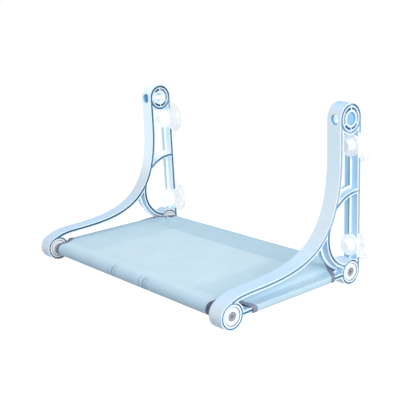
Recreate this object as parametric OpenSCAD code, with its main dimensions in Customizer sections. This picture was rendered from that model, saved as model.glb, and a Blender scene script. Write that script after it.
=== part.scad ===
// Window mounted cat perch: a cloth deck stretched on two tubes between two moulded brackets.
// Each bracket hangs on two suction cups that are drawn up with a stud, a washer and a knob nut.
// Millimetres. X runs along the window, Y points at the glass, Z is up.
// Origin: on the glass, midway between the brackets, at the height of the tubes.

/* [Overall size] */
// Width over the outer faces of the two brackets
span_w = 514; // [420:1:640]
// Distance from the front tube to the rear tube
reach = 260; // [245:1:290]
// Height of the bracket head's centre above the tubes
head_h = 250; // [244:1:270]
// Distance from the glass to the back of the brackets
stand_off = 12; // [11:0.5:15]

/* [Bracket bands] */
// Width of a bracket
bracket_w = 27; // [25:0.5:30]
// Thickness of the moulded bands, seen from the side
band_t = 8; // [7.6:0.1:8.6]
// Rim left beside the groove of a band
rim_t = 1.9; // [1.6:0.1:2.1]
// Width of the groove in the edge of a band
groove_w = 3.6; // [3:0.1:4]
// Depth of the groove in the edge of a band
groove_d = 5; // [3:0.5:7]
// Thickness of the rib along the middle of a band
rib_t = 3; // [2:0.2:4]
// Height of the rib along the middle of a band
rib_h = 4.6; // [3:0.2:5]
// Height of the rail's underside below the tubes
rail_drop = 5; // [4:0.2:5.4]
// Radius of the fillet between a boss and the rail
rail_fillet_r = 8; // [6:0.5:9]

/* [Bracket arches] */
// Middle radius of the arch over the lower cup
arch_r = 71.3; // [69:0.5:73]
// Height of the arch's centre above the tubes
arch_z = 62; // [60:0.5:64]
// Middle radius of the loop under the lower cup
loop_r = 54; // [53:0.5:55]
// Height of the loop's centre above the tubes
loop_z = 65.5; // [65:0.5:67]

/* [Bracket head] */
// Outer radius of the head
head_r = 25; // [24.5:0.5:26]
// Radius over the ring inside the head's groove
head_pocket_r = 17.5; // [17:0.1:17.8]
// Radius over the tube wall inside the head's pocket
head_hub_r = 13.5; // [13:0.1:14.5]
// Radius of the round recess in the middle of the head
head_recess_r = 10.3; // [9:0.1:11]
// Depth of the pocket between the ring and the hub
head_pocket_d = 7; // [4:0.5:9]
// Depth of the recess on the side that faces the deck
head_inner_d = 17; // [14:0.5:18]
// Depth of the recess on the outer side
head_outer_d = 3; // [1:0.5:5]
// Radius of the hole in the front of the head
head_eye_r = 8.8; // [7:0.1:9]
// Radius of the bar across the inner recess
head_bar_r = 3.4; // [2.5:0.1:3.8]
// Distance of the bar's centre from the inner face
head_bar_in = 5; // [4.6:0.1:6]
// Thickness of the small ribs in the pocket
head_web_t = 2; // [1.4:0.1:3]

/* [Bosses and tubes] */
// Outer radius of the bosses at the ends of the rail
boss_r = 22; // [21.5:0.5:23]
// Radius over the ring inside a boss's groove
boss_ring_r = 17.9; // [17.5:0.1:18.2]
// Radius of the shallow counterbore in both faces of a boss
boss_sink_r = 14.8; // [14:0.1:15.4]
// Depth of the shallow counterbore
boss_sink_d = 2; // [1:0.2:3]
// Radius of a cross tube
tube_r = 9.5; // [9:0.1:10]
// Wall of a cross tube
tube_wall_t = 1.2; // [1:0.1:2]
// Thickness of the tapped wall that closes a tube's end
tube_end_t = 6; // [4:0.5:8]
// Wall of the nylon bush round a tube's end
bush_wall_t = 4.3; // [3.4:0.1:4.5]
// Thickness of the bush's closed outer end
bush_end_t = 9; // [7:0.5:11]
// Length of bush that stands out of the bracket's inner face
bush_lip_l = 1; // [0.5:0.1:1.5]
// Depth of the bush's outer face below the bracket's outer face
bush_sunk_l = 0.6; // [0.3:0.1:1]
// Radial play of the bushes, tubes and screws in their bores
seat_play = 0.05; // [0.02:0.01:0.1]

/* [Tube screws] */
// Radius of a screw's head
screw_head_r = 6.5; // [5.5:0.1:6.8]
// Thickness of a screw's head
screw_head_t = 2.2; // [1.6:0.1:3]
// Gap round the head and over it in the bush's recess
screw_recess_gap = 0.8; // [0.3:0.1:1.2]
// Radius of a screw's shank
screw_r = 2.4; // [2:0.1:3]
// Width of the cross slot in a screw's head
cross_w = 1.2; // [0.8:0.1:1.6]
// Length of the cross slot
cross_l = 5.4; // [4:0.1:7]
// Depth of the cross slot
cross_d = 1.4; // [0.8:0.1:1.4]

/* [Suction cups] */
// Radius of a cup at its lip
cup_r = 31; // [29:0.5:37]
// Height of the lower cups above the tubes
cup_low_z = 41; // [40:0.5:44]
// Distance from the bracket head's centre down to the upper cups
cup_under_head = 44.5; // [42:0.5:50]
// Depth of the hollow behind a cup that is pressed on the glass
cup_hollow_d = 3; // [2:0.5:3.5]
// Height of the cup's thick edge
cup_edge_h = 5; // [3:0.5:5]
// Radius of the cup's neck
cup_neck_r = 10; // [8:0.5:12]
// Depth of the stud in the neck
stud_root_l = 7; // [5:0.5:7.5]

/* [Studs, washers and knobs] */
// Outer radius of the thread
stud_r = 3; // [2.5:0.1:4]
// Length of thread that stands in a knob
stud_grip_l = 9; // [8.5:0.5:9.5]
// Radial play of a stud in the bracket, the washer and the knob
stud_play = 0.08; // [0.03:0.01:0.1]
// Radius of a washer
washer_r = 18; // [16:0.5:20]
// Thickness of a washer
washer_t = 4; // [3:0.2:5]
// Radius of a knob nut
knob_r = 9.5; // [8:0.5:11]
// Length of a knob nut
knob_l = 12; // [11.5:0.5:16]
// Radius of the rounded front edge of a knob nut
knob_round_r = 2.5; // [1:0.5:4]
// Free length over which the grooves are filled round a stud
stud_pad_l = 40; // [38:1:44]
// Gap between a washer's edge and the ribs
rib_gap = 1; // [0.5:0.1:2]

/* [Cloth] */
// Thickness of the doubled cloth
cloth_t = 1.2; // [0.9:0.1:1.4]
// Gap between the cloth and what it runs over
cloth_gap = 0.3; // [0.3:0.05:0.4]
// Width of the tape sewn over the cut edges
tape_w = 8; // [6:0.5:9]
// Width over which the cloth rises from the side sleeve to the deck
rise_w = 4.5; // [3:0.5:6]
// Distance from a bracket's inner face to the end of the front roll
front_roll_in = 10.5; // [8:0.5:13]
// Distance from a bracket's inner face to the end of the rear roll
rear_roll_in = 13; // [11:0.5:16]
// Distance along the sleeve's outer face from the front tube to its end
front_notch_l = 40.5; // [40:0.5:46]
// Distance along the sleeve's outer face from the rear tube to its end
rear_notch_l = 41; // [39:0.5:48]

/* [Hidden] */
$fn = 96;

// Cuts run past a face by this much so that no skin is left
past = 1;
// Steps along a smooth curve
curve_steps = 22;
nose_steps = 10;

// Positions that follow from the sizes above
half_w = span_w / 2;
inner_x = half_w - bracket_w;
stud_x = half_w - bracket_w / 2;
plate_back_y = -stand_off;
plate_front_y = plate_back_y - band_t;
rear_y = plate_back_y - boss_r;
front_y = rear_y - reach;
head_y = plate_back_y - head_r;
cup_high_z = head_h - cup_under_head;
rail_top_z = band_t - rail_drop;

// The groove runs this far inside a band's outer edge, and this far from its inner edge
line_out = rim_t + groove_w / 2;
line_in = band_t - line_out;
head_line_r = head_r - line_out;
boss_line_r = boss_r - line_out;
rail_line_z = line_out - rail_drop;
rail_run = sqrt(pow(boss_r + rail_fillet_r, 2) - pow(rail_drop + rail_fillet_r, 2));

// The arm: a long sweep from under the head, then a short one round the front boss
arm_y = head_y - head_line_r;
arm_knee_share = 0.796;
arm_drop_share = 0.607;
arm_end_share = 0.788;
arm_pull_share = 0.379;
arm_end_z = 27.3;
arm_pull_rise = 3;
nose_angle = 117;
nose_front_l = 28.4;
nose_front_drop = 0.9;
nose_back_l = 24;
arm_start = [arm_y, head_h * arm_knee_share];
arm_end = [rear_y - reach * arm_end_share, arm_end_z];
nose_end = [front_y + boss_line_r * cos(nose_angle), boss_line_r * sin(nose_angle)];
arm_line = concat([[arm_y, head_h]],
    [for (i = [0:curve_steps]) bez(arm_start, arm_start - [0, head_h * arm_drop_share],
        arm_end + [reach * arm_pull_share, arm_pull_rise], arm_end, i / curve_steps)],
    [for (i = [1:nose_steps]) bez(arm_end, arm_end - [nose_front_l, nose_front_drop],
        nose_end + nose_back_l * [sin(nose_angle), -cos(nose_angle)], nose_end, i / nose_steps)]);

// Centres of the arch and of the loop, set off from the rear plate and the rear tube
arch_y = plate_front_y - past;
arch_start_angle = 160;
loop_y = rear_y;
loop_start_angle = 159;
loop_end_angle = 256;

// Distances from the glass into the room along a stud
washer_h = stand_off + band_t;
knob_h = washer_h + washer_t;
stud_end_h = knob_h + stud_grip_l;
cup_shoulder_drop = 3;
cup_shoulder_h = stand_off - cup_shoulder_drop;
cup_edge_in = 5;
cup_edge_rise = 1.5;
cup_lip_w = 1.5;
cup_lip_h = 0.8;
cup_bevel = 0.5;
cup_cone_w = 3;
cup_cone_r = cup_neck_r + cup_cone_w;
cup_cone_drop = 0.6;
cup_wall_share = 0.55;
cup_hollow_share = 0.85;
knob_bore_gap = 1;

// The cloth
roll_in_r = tube_r + cloth_gap;
roll_r = roll_in_r + cloth_t;
sleeve_x = half_w + cloth_gap + cloth_t;
sleeve_in_x = inner_x - cloth_gap - cloth_t;
sleeve_top_z = rail_top_z + cloth_gap + cloth_t;
sleeve_bottom_z = -rail_drop - cloth_gap - cloth_t;
deck_x = sleeve_in_x - rise_w;
front_roll_x = inner_x - front_roll_in;
rear_roll_x = inner_x - rear_roll_in;
notch_gap = 1.2;
front_turn_l = 10;
rear_turn_l = 12;
boss_clear_in = 1;
// Cut edges of the cloth at the front right and rear right corners, seen from above
front_edge = [[front_roll_x, front_y - roll_r - past],
    [front_roll_x, front_y + front_turn_l],
    [inner_x - boss_clear_in, front_y + rail_run + notch_gap],
    [sleeve_x + past, front_y + front_notch_l]];
rear_edge = [[sleeve_x + past, rear_y - rear_notch_l],
    [inner_x - boss_clear_in, rear_y - rail_run - notch_gap],
    [rear_roll_x, rear_y - rear_turn_l],
    [rear_roll_x, rear_y + roll_r + past]];

bracket_color = "#CDE2F5";
nylon_color = "#F4F6F8";
steel_color = "#9A9CA6";
cloth_color = "#BFD9EA";
tape_color = "#6E7488";
cup_color = "#DDEBF4";

// Point on a smooth curve from p to q that leaves towards c and arrives from d
function bez(p, c, d, q, t) =
    pow(1 - t, 3) * p + 3 * pow(1 - t, 2) * t * c + 3 * (1 - t) * t * t * d + pow(t, 3) * q;

// Unit direction to the right-hand side of a path at one of its points
function side_of(line, i) =
    let (d = line[min(i + 1, len(line) - 1)] - line[max(i - 1, 0)]) [d[1], -d[0]] / norm(d);

// A path moved sideways by a distance
function beside(line, s) = [for (i = [0:len(line) - 1]) line[i] + s * side_of(line, i)];

// A list in reverse
function turned(list) = [for (i = [len(list) - 1:-1:0]) list[i]];

// Flat strip that reaches a distance to each side of a path
module strip(line, right, left) {
    polygon(concat(beside(line, right), turned(beside(line, -left))));
}

// Flat ring
module ring(outer, inner) {
    difference() {
        circle(outer);
        circle(inner);
    }
}

// Upright block of the side view: y and z limits
module block(y_limits, z_limits) {
    translate([y_limits[0], z_limits[0]])
        square([y_limits[1] - y_limits[0], z_limits[1] - z_limits[0]]);
}

// Side-view outline (y, z) given a thickness along X
module slab(x, w) {
    translate([x, 0, 0])
        rotate([90, 0, 90])
            linear_extrude(w)
                children();
}

// What is turned about an axis square to the glass, its height counted into the room
module from_glass(x, z) {
    translate([x, 0, z])
        rotate([90, 0, 0])
            children();
}

// What is turned about a bracket's X axis, counted outwards from the inner face
module along_x(x, y, z) {
    translate([x, y, z])
        rotate([0, 90, 0])
            children();
}

// The room between the arm and the rear plate, where the arch and the loop lie
module inside_arm() {
    polygon(concat(arm_line, [[front_y, 0], [rear_y, 0], [plate_front_y, 0], [plate_front_y, head_h]]));
}

// Concave fillet between a boss and the underside of the rail; side is 1 or -1
module rail_fillet(y, side) {
    translate([y, 0])
        difference() {
            polygon([[0, 0], [side * rail_run, -rail_drop],
                [side * rail_run, -rail_drop - rail_fillet_r]]);
            translate([side * rail_run, -rail_drop - rail_fillet_r])
                circle(rail_fillet_r);
        }
}

// Side view of every band at full width
module bands() {
    strip(arm_line, line_out, line_in);
    translate([head_y, head_h]) circle(head_r);
    translate([front_y, 0]) circle(boss_r);
    translate([rear_y, 0]) circle(boss_r);
    block([plate_front_y, plate_back_y], [0, head_h]);
    block([front_y, rear_y], [-rail_drop, rail_top_z]);
    rail_fillet(front_y, 1);
    rail_fillet(rear_y, -1);
    intersection() {
        inside_arm();
        union() {
            arch_sector() ring(arch_r + band_t / 2, arch_r - band_t / 2);
            loop_sector() ring(loop_r + band_t / 2, loop_r - band_t / 2);
        }
    }
}

// The part of a ring round the arch's centre that runs from the arm up to the rear plate
module arch_sector() {
    reach_r = arch_r + band_t + rib_h;
    translate([arch_y, arch_z])
        intersection() {
            children();
            polygon([[0, 0], reach_r * [-1, -tan(arch_start_angle)], [-reach_r, reach_r],
                [reach_r, reach_r], [reach_r, 0]]);
        }
}

// The part of a ring round the loop's centre that runs from the arm down to the rear boss
module loop_sector() {
    reach_r = loop_r + band_t + rib_h;
    translate([loop_y, loop_z])
        intersection() {
            children();
            polygon([[0, 0], -reach_r * [1, tan(loop_start_angle)], [-reach_r, -reach_r],
                [reach_r * cos(loop_end_angle), reach_r * sin(loop_end_angle)]]);
        }
}

// Side view of the ribs that stand at mid width
module ribs() {
    intersection() {
        inside_arm();
        difference() {
            union() {
                arch_sector() ring(arch_r + band_t / 2 + rib_h, arch_r);
                loop_sector() ring(loop_r + band_t / 2 + rib_h, loop_r);
                block([plate_front_y - rib_h, plate_front_y], [0, head_h]);
            }
            for (z = [cup_low_z, cup_high_z])
                block([plate_front_y - rib_h - past, plate_front_y],
                    [z - washer_r - rib_gap, z + washer_r + rib_gap]);
        }
    }
    gusset(front_y, 1, gusset_l);
    gusset(rear_y, -1, gusset_l);
}

gusset_l = 12;
gusset_z = 8;

// Small web between a boss and the top of the rail
module gusset(y, side, l) {
    translate([y, 0])
        polygon([[0, 0], [side * (boss_r + l), 0], [side * (boss_r + l), rail_top_z],
            [side * boss_r, gusset_z], [0, gusset_z]]);
}

// Side view of the grooves moulded into both edges of the bands
module grooves() {
    half = groove_w / 2;
    difference() {
        union() {
            strip(arm_line, half, half);
            translate([head_y, head_h]) ring(head_line_r + half, head_line_r - half);
            for (y = [front_y, rear_y])
                translate([y, 0]) ring(boss_r - rim_t, boss_ring_r);
            block([front_y, rear_y], [rail_line_z - half, rail_line_z + half]);
            difference() {
                block([plate_back_y - line_out - half, plate_back_y - line_out + half], [0, head_h]);
                for (z = [cup_low_z, cup_high_z])
                    block([plate_front_y, plate_back_y], [z - stud_pad_l / 2, z + stud_pad_l / 2]);
            }
            intersection() {
                inside_arm_to_line();
                union() {
                    arch_sector() ring(arch_r + half, arch_r - half);
                    loop_sector() ring(loop_r + half, loop_r - half);
                }
            }
        }
        for (y = [front_y, rear_y])
            translate([y, 0]) circle(boss_ring_r);
        translate([head_y, head_h]) circle(head_line_r - half);
    }
}

// The room inside the bracket up to the lines of the arm's and the rear plate's grooves
module inside_arm_to_line() {
    back = plate_back_y - line_out;
    polygon(concat(arm_line, [[front_y, 0], [rear_y, 0], [back, 0], [back, head_h]]));
}

// Pocket between the head's ring and its hub, parted by four small ribs
module head_pocket() {
    difference() {
        ring(head_pocket_r, head_hub_r);
        for (a = head_web_angles)
            rotate(a)
                translate([0, -head_web_t / 2])
                    square([head_r, head_web_t]);
    }
}

head_web_angles = [90, 210, 270, 330];

// Everything cut into the head of a bracket whose inner face is at x = 0
module head_cuts() {
    slab(-past, head_pocket_d + past) translate([head_y, head_h]) head_pocket();
    slab(bracket_w - head_pocket_d, head_pocket_d + past) translate([head_y, head_h]) head_pocket();
    along_x(-past, head_y, head_h) cylinder(h = head_inner_d + past, r = head_recess_r);
    along_x(bracket_w - head_outer_d, head_y, head_h)
        cylinder(h = head_outer_d + past, r = head_recess_r);
    translate([bracket_w / 2, head_y, head_h])
        rotate([90, 0, 0])
            cylinder(h = head_r + past, r = head_eye_r);
}

// Bore for a bush and the shallow counterbores in both faces of a boss
module boss_cuts(y) {
    along_x(-past, y, 0) cylinder(h = bracket_w + past + past, r = bush_r + seat_play);
    along_x(-past, y, 0) cylinder(h = boss_sink_d + past, r = boss_sink_r);
    along_x(bracket_w - boss_sink_d, y, 0) cylinder(h = boss_sink_d + past, r = boss_sink_r);
}

bush_r = tube_r + seat_play + bush_wall_t;

// One bracket with its inner face at x = 0
module bracket_shape() {
    difference() {
        union() {
            slab(0, bracket_w) bands();
            slab((bracket_w - rib_t) / 2, rib_t) ribs();
        }
        slab(-past, groove_d + past) grooves();
        slab(bracket_w - groove_d, groove_d + past) grooves();
        head_cuts();
        for (y = [front_y, rear_y])
            boss_cuts(y);
        for (z = [cup_low_z, cup_high_z])
            from_glass(bracket_w / 2, z)
                cylinder(h = washer_h + past, r = stud_r + stud_play);
    }
    translate([head_bar_in, head_y + head_hub_r, head_h])
        rotate([90, 0, 0])
            cylinder(h = head_hub_r + head_hub_r, r = head_bar_r);
}

module bracket_right() {
    color(bracket_color)
        translate([inner_x, 0, 0])
            bracket_shape();
}

module bracket_left() {
    mirror([1, 0, 0])
        bracket_right();
}

// A tube runs to the closed ends of its two bushes
tube_half_l = half_w - bush_sunk_l - bush_end_t;

module cross_tube(y) {
    hollow_l = tube_half_l - tube_end_t;
    color(steel_color)
        difference() {
            along_x(-tube_half_l, y, 0) cylinder(h = tube_half_l + tube_half_l, r = tube_r);
            along_x(-hollow_l, y, 0) cylinder(h = hollow_l + hollow_l, r = tube_r - tube_wall_t);
            along_x(-tube_half_l - past, y, 0)
                cylinder(h = tube_half_l + tube_half_l + past + past, r = screw_r + seat_play);
        }
}

module front_tube() {
    cross_tube(front_y);
}

module rear_tube() {
    cross_tube(rear_y);
}

// Nylon bush in a right-hand boss: open to the tube, closed outside with a recess for the screw
bush_out_x = half_w - bush_sunk_l;
bush_in_x = inner_x - bush_lip_l;
screw_recess_d = screw_head_t + screw_recess_gap;

module tube_bush(y) {
    color(nylon_color)
        difference() {
            along_x(bush_in_x, y, 0) cylinder(h = bush_out_x - bush_in_x, r = bush_r);
            along_x(bush_in_x - past, y, 0)
                cylinder(h = tube_half_l - bush_in_x + past, r = tube_r + seat_play);
            along_x(bush_out_x - screw_recess_d, y, 0)
                cylinder(h = screw_recess_d + past, r = screw_head_r + screw_recess_gap);
            along_x(tube_half_l - past, y, 0)
                cylinder(h = bush_end_t + past, r = screw_r + seat_play);
        }
}

// Screw that draws a bush onto the tube's end wall
module tube_screw(y) {
    head_x = bush_out_x - screw_recess_d;
    color(steel_color)
        difference() {
            union() {
                along_x(head_x, y, 0) cylinder(h = screw_head_t, r = screw_head_r);
                along_x(tube_half_l - tube_end_t, y, 0)
                    cylinder(h = head_x - tube_half_l + tube_end_t, r = screw_r);
            }
            for (a = [0, 90])
                translate([head_x + screw_head_t - cross_d, y, 0])
                    rotate([a, 0, 0])
                        translate([0, -cross_l / 2, -cross_w / 2])
                            cube([cross_d + past, cross_l, cross_w]);
        }
}

module tube_bush_front_right() {
    tube_bush(front_y);
}

module tube_bush_front_left() {
    mirror([1, 0, 0]) tube_bush(front_y);
}

module tube_bush_rear_right() {
    tube_bush(rear_y);
}

module tube_bush_rear_left() {
    mirror([1, 0, 0]) tube_bush(rear_y);
}

module tube_screw_front_right() {
    tube_screw(front_y);
}

module tube_screw_front_left() {
    mirror([1, 0, 0]) tube_screw(front_y);
}

module tube_screw_rear_right() {
    tube_screw(rear_y);
}

module tube_screw_rear_left() {
    mirror([1, 0, 0]) tube_screw(rear_y);
}

// Tube of cloth round a cross tube
module cloth_roll(y, half_l) {
    along_x(-half_l, y, 0)
        difference() {
            cylinder(h = half_l + half_l, r = roll_r);
            translate([0, 0, -past]) cylinder(h = half_l + half_l + past + past, r = roll_in_r);
        }
}

// Section (x, z) of the right side: the flat sleeve round the rail and the rise to the deck
module sleeve_section() {
    difference() {
        polygon([[sleeve_in_x, sleeve_bottom_z], [sleeve_x, sleeve_bottom_z],
            [sleeve_x, sleeve_top_z], [sleeve_in_x, sleeve_top_z]]);
        polygon([[sleeve_in_x + cloth_t, sleeve_bottom_z + cloth_t],
            [sleeve_x - cloth_t, sleeve_bottom_z + cloth_t],
            [sleeve_x - cloth_t, sleeve_top_z - cloth_t], [sleeve_in_x + cloth_t, sleeve_top_z - cloth_t]]);
    }
    polygon([[deck_x, roll_in_r], [sleeve_in_x, sleeve_top_z - cloth_t],
        [sleeve_in_x + cloth_t, sleeve_top_z], [deck_x + cloth_t, roll_r], [deck_x, roll_r]]);
}

// The whole cloth before its corners are cut: deck, side sleeves and the two rolls
module cloth_form() {
    translate([-deck_x, front_y, roll_in_r])
        cube([deck_x + deck_x, reach, cloth_t]);
    for (side = [0, 1])
        mirror([side, 0, 0])
            translate([0, rear_y - rear_turn_l, 0])
                rotate([90, 0, 0])
                    linear_extrude(reach - rear_turn_l - front_turn_l)
                        sleeve_section();
    cloth_roll(front_y, front_roll_x);
    cloth_roll(rear_y, rear_roll_x);
}

// Upright prism over a plan outline, tall enough for the cloth
module over_plan() {
    translate([0, 0, sleeve_bottom_z - roll_r])
        linear_extrude(roll_r + roll_r + roll_r)
            children();
}

// Plan outside a corner's cut edge after the edge is moved in by a distance
module front_corner_plan(s) {
    line = beside(front_edge, -s);
    polygon(concat(line, [[half_w + boss_r, line[len(line) - 1][1]],
        [half_w + boss_r, front_y - boss_r], [line[0][0], front_y - boss_r]]));
}

module rear_corner_plan(s) {
    line = beside(rear_edge, -s);
    polygon(concat(line, [[line[len(line) - 1][0], rear_y + boss_r],
        [half_w + boss_r, rear_y + boss_r], [half_w + boss_r, line[0][1]]]));
}

module deck_cloth() {
    color(cloth_color)
        difference() {
            cloth_form();
            for (side = [0, 1])
                mirror([side, 0, 0])
                    over_plan() {
                        front_corner_plan(tape_w + cloth_gap);
                        rear_corner_plan(tape_w + cloth_gap);
                    }
        }
}

// Tape over a corner's cut edge: it follows the cloth on the sleeve, the deck and the roll
module corner_tape_front_right() {
    color(tape_color)
        intersection() {
            cloth_form();
            over_plan()
                strip(front_edge, 0, tape_w);
        }
}

module corner_tape_rear_right() {
    color(tape_color)
        intersection() {
            cloth_form();
            over_plan()
                strip(rear_edge, 0, tape_w);
        }
}

module corner_tape_front_left() {
    mirror([1, 0, 0]) corner_tape_front_right();
}

module corner_tape_rear_left() {
    mirror([1, 0, 0]) corner_tape_rear_right();
}

// Clear cup pressed on the glass, its neck against the back of the bracket
module suction_cup(x, z) {
    color(cup_color)
        from_glass(x, z)
            difference() {
                rotate_extrude()
                    polygon([[0, cup_hollow_d], [cup_r * cup_wall_share, cup_hollow_d * cup_hollow_share],
                        [cup_r - cup_lip_w, 0], [cup_r - cup_bevel, 0], [cup_r, cup_lip_h],
                        [cup_r - cup_bevel, cup_edge_h],
                        [cup_r - cup_edge_in, cup_edge_h + cup_edge_rise],
                        [cup_cone_r, cup_shoulder_h - cup_cone_drop], [cup_neck_r, cup_shoulder_h],
                        [cup_neck_r, stand_off], [0, stand_off]]);
                translate([0, 0, stand_off - stud_root_l])
                    cylinder(h = stud_root_l + past, r = stud_r + seat_play);
            }
}

module cup_stud(x, z) {
    color(steel_color)
        from_glass(x, z)
            translate([0, 0, stand_off - stud_root_l])
                cylinder(h = stud_end_h - stand_off + stud_root_l, r = stud_r);
}

module cup_washer(x, z) {
    color(nylon_color)
        from_glass(x, z)
            translate([0, 0, washer_h])
                difference() {
                    cylinder(h = washer_t, r = washer_r);
                    translate([0, 0, -past])
                        cylinder(h = washer_t + past + past, r = stud_r + stud_play);
                }
}

// Knob nut with a blind bore and a rounded front edge
module knob_nut(x, z) {
    round_z = knob_l - knob_round_r;
    color(nylon_color)
        from_glass(x, z)
            translate([0, 0, knob_h])
                difference() {
                    union() {
                        cylinder(h = round_z, r = knob_r);
                        cylinder(h = knob_l, r = knob_r - knob_round_r);
                        translate([0, 0, round_z])
                            rotate_extrude()
                                translate([knob_r - knob_round_r, 0])
                                    intersection() {
                                        circle(knob_round_r);
                                        square([knob_round_r, knob_round_r]);
                                    }
                    }
                    translate([0, 0, -past])
                        cylinder(h = stud_grip_l + knob_bore_gap + past, r = stud_r + stud_play);
                }
}

module suction_cup_left_upper() {
    suction_cup(-stud_x, cup_high_z);
}

module suction_cup_left_lower() {
    suction_cup(-stud_x, cup_low_z);
}

module suction_cup_right_upper() {
    suction_cup(stud_x, cup_high_z);
}

module suction_cup_right_lower() {
    suction_cup(stud_x, cup_low_z);
}

module cup_stud_left_upper() {
    cup_stud(-stud_x, cup_high_z);
}

module cup_stud_left_lower() {
    cup_stud(-stud_x, cup_low_z);
}

module cup_stud_right_upper() {
    cup_stud(stud_x, cup_high_z);
}

module cup_stud_right_lower() {
    cup_stud(stud_x, cup_low_z);
}

module cup_washer_left_upper() {
    cup_washer(-stud_x, cup_high_z);
}

module cup_washer_left_lower() {
    cup_washer(-stud_x, cup_low_z);
}

module cup_washer_right_upper() {
    cup_washer(stud_x, cup_high_z);
}

module cup_washer_right_lower() {
    cup_washer(stud_x, cup_low_z);
}

module knob_nut_left_upper() {
    knob_nut(-stud_x, cup_high_z);
}

module knob_nut_left_lower() {
    knob_nut(-stud_x, cup_low_z);
}

module knob_nut_right_upper() {
    knob_nut(stud_x, cup_high_z);
}

module knob_nut_right_lower() {
    knob_nut(stud_x, cup_low_z);
}

bracket_left();
bracket_right();
front_tube();
rear_tube();
tube_bush_front_left();
tube_bush_front_right();
tube_bush_rear_left();
tube_bush_rear_right();
tube_screw_front_left();
tube_screw_front_right();
tube_screw_rear_left();
tube_screw_rear_right();
deck_cloth();
corner_tape_front_left();
corner_tape_front_right();
corner_tape_rear_left();
corner_tape_rear_right();
suction_cup_left_upper();
suction_cup_left_lower();
suction_cup_right_upper();
suction_cup_right_lower();
cup_stud_left_upper();
cup_stud_left_lower();
cup_stud_right_upper();
cup_stud_right_lower();
cup_washer_left_upper();
cup_washer_left_lower();
cup_washer_right_upper();
cup_washer_right_lower();
knob_nut_left_upper();
knob_nut_left_lower();
knob_nut_right_upper();
knob_nut_right_lower();
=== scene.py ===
# %% [markdown]
# # A cat perch that hangs on a window
# Two pale blue moulded brackets hang on suction cups and carry two steel
# tubes. A cloth deck is stretched between the tubes, and its side sleeves are
# threaded on the brackets' flat rails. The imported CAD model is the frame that
# everything is dressed on, so it is loaded first, in metres.

# %% Load the frame
import math
import bpy
import bmesh
from mathutils import Matrix, Vector, noise
from mathutils.bvhtree import BVHTree


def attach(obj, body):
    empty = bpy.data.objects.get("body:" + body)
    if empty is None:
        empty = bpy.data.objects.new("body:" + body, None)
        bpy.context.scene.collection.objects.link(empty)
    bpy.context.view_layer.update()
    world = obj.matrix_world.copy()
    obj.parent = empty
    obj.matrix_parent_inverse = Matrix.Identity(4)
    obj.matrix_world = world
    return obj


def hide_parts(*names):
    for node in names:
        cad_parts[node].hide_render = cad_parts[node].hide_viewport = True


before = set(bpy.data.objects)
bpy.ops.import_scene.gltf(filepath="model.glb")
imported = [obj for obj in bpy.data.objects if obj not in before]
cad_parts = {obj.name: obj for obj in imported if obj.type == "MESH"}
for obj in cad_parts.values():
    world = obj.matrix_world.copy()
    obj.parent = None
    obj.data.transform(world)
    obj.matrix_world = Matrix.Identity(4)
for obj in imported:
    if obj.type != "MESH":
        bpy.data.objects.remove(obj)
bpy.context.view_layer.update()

# %% [markdown]
# ## The camera
# The photograph was taken from the perch's front right, a little above it.
# A camera could be placed by eye, but its direction, roll and lens were fitted
# to measured points of the photograph, so they are written as numbers.

# %% Camera
def placed(name, data):
    """A new object in the scene."""
    made = bpy.data.objects.new(name, data)
    bpy.context.collection.objects.link(made)
    return made


azimuth, elevation, roll = (math.radians(a) for a in (49.345, 18.273, -2.400))
camera_place = Vector((1.0568, -0.9897, 0.4414))
back = Vector((math.cos(elevation) * math.sin(azimuth),
               -math.cos(elevation) * math.cos(azimuth), math.sin(elevation)))
level_right = Vector((0, 0, 1)).cross(back).normalized()
level_up = back.cross(level_right)
right = level_right * math.cos(roll) + level_up * math.sin(roll)
up = level_up * math.cos(roll) - level_right * math.sin(roll)
lens = bpy.data.cameras.new("photo_lens")
lens.sensor_width = 36
lens.lens = 69.13
lens.shift_x, lens.shift_y = -0.0418, 0.1166
camera = placed("photo_camera", lens)
camera.matrix_world = Matrix((
    (right.x, up.x, back.x, camera_place.x),
    (right.y, up.y, back.y, camera_place.y),
    (right.z, up.z, back.z, camera_place.z),
    (0, 0, 0, 1)))
bpy.context.scene.camera = camera
print("camera looks along", tuple(round(c, 3) for c in -back))

# %% [markdown]
# ## Colours and nodes
# Colours are read off as sRGB hex values. The shader works in linear light, so
# one function turns them. One more adds a node with its settings and links.

# %% Colour and node helpers
def linear(hex_colour):
    """An sRGB hex colour as linear RGBA."""
    parts = [int(hex_colour[i:i + 2], 16) / 255 for i in (1, 3, 5)]
    return tuple(c / 12.92 if c <= 0.04045 else ((c + 0.055) / 1.055) ** 2.4 for c in parts) + (1.0,)


def add(tree, kind, values=None, links=None, **fields):
    """Adds a node with socket values, links and fields; a link may name a node for its first open output."""
    made = tree.nodes.new(kind)
    for name, value in fields.items():
        setattr(made, name, value)
    for name, value in (values or {}).items():
        made.inputs[name].default_value = value
    for name, source in (links or {}).items():
        if isinstance(source, bpy.types.Node):
            source = next(output for output in source.outputs if output.enabled)
        tree.links.new(source, made.inputs[name])
    return made


def finish_for(name):
    """A new empty material, its tree and its Object coordinates."""
    made = bpy.data.materials.new(name)
    made.use_nodes = True
    made.node_tree.nodes.clear()
    return made, made.node_tree, add(made.node_tree, "ShaderNodeTexCoord").outputs["Object"]


def shade(made, shader):
    """Joins a shader to a material's output."""
    add(made.node_tree, "ShaderNodeOutputMaterial", links={"Surface": shader})
    return made


def two_tone(tree, place, size_mm, dark, light):
    """Two close colours mixed by soft noise whose lumps are size_mm across."""
    lumps = add(tree, "ShaderNodeTexNoise", values={"Scale": 1000 / size_mm, "Detail": 3.0},
                links={"Vector": place})
    spread = add(tree, "ShaderNodeMapRange", values={"From Min": 0.35, "From Max": 0.65},
                 links={"Value": lumps})
    return add(tree, "ShaderNodeMix", data_type="RGBA",
               values={"A": linear(dark), "B": linear(light)}, links={"Factor": spread})


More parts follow.
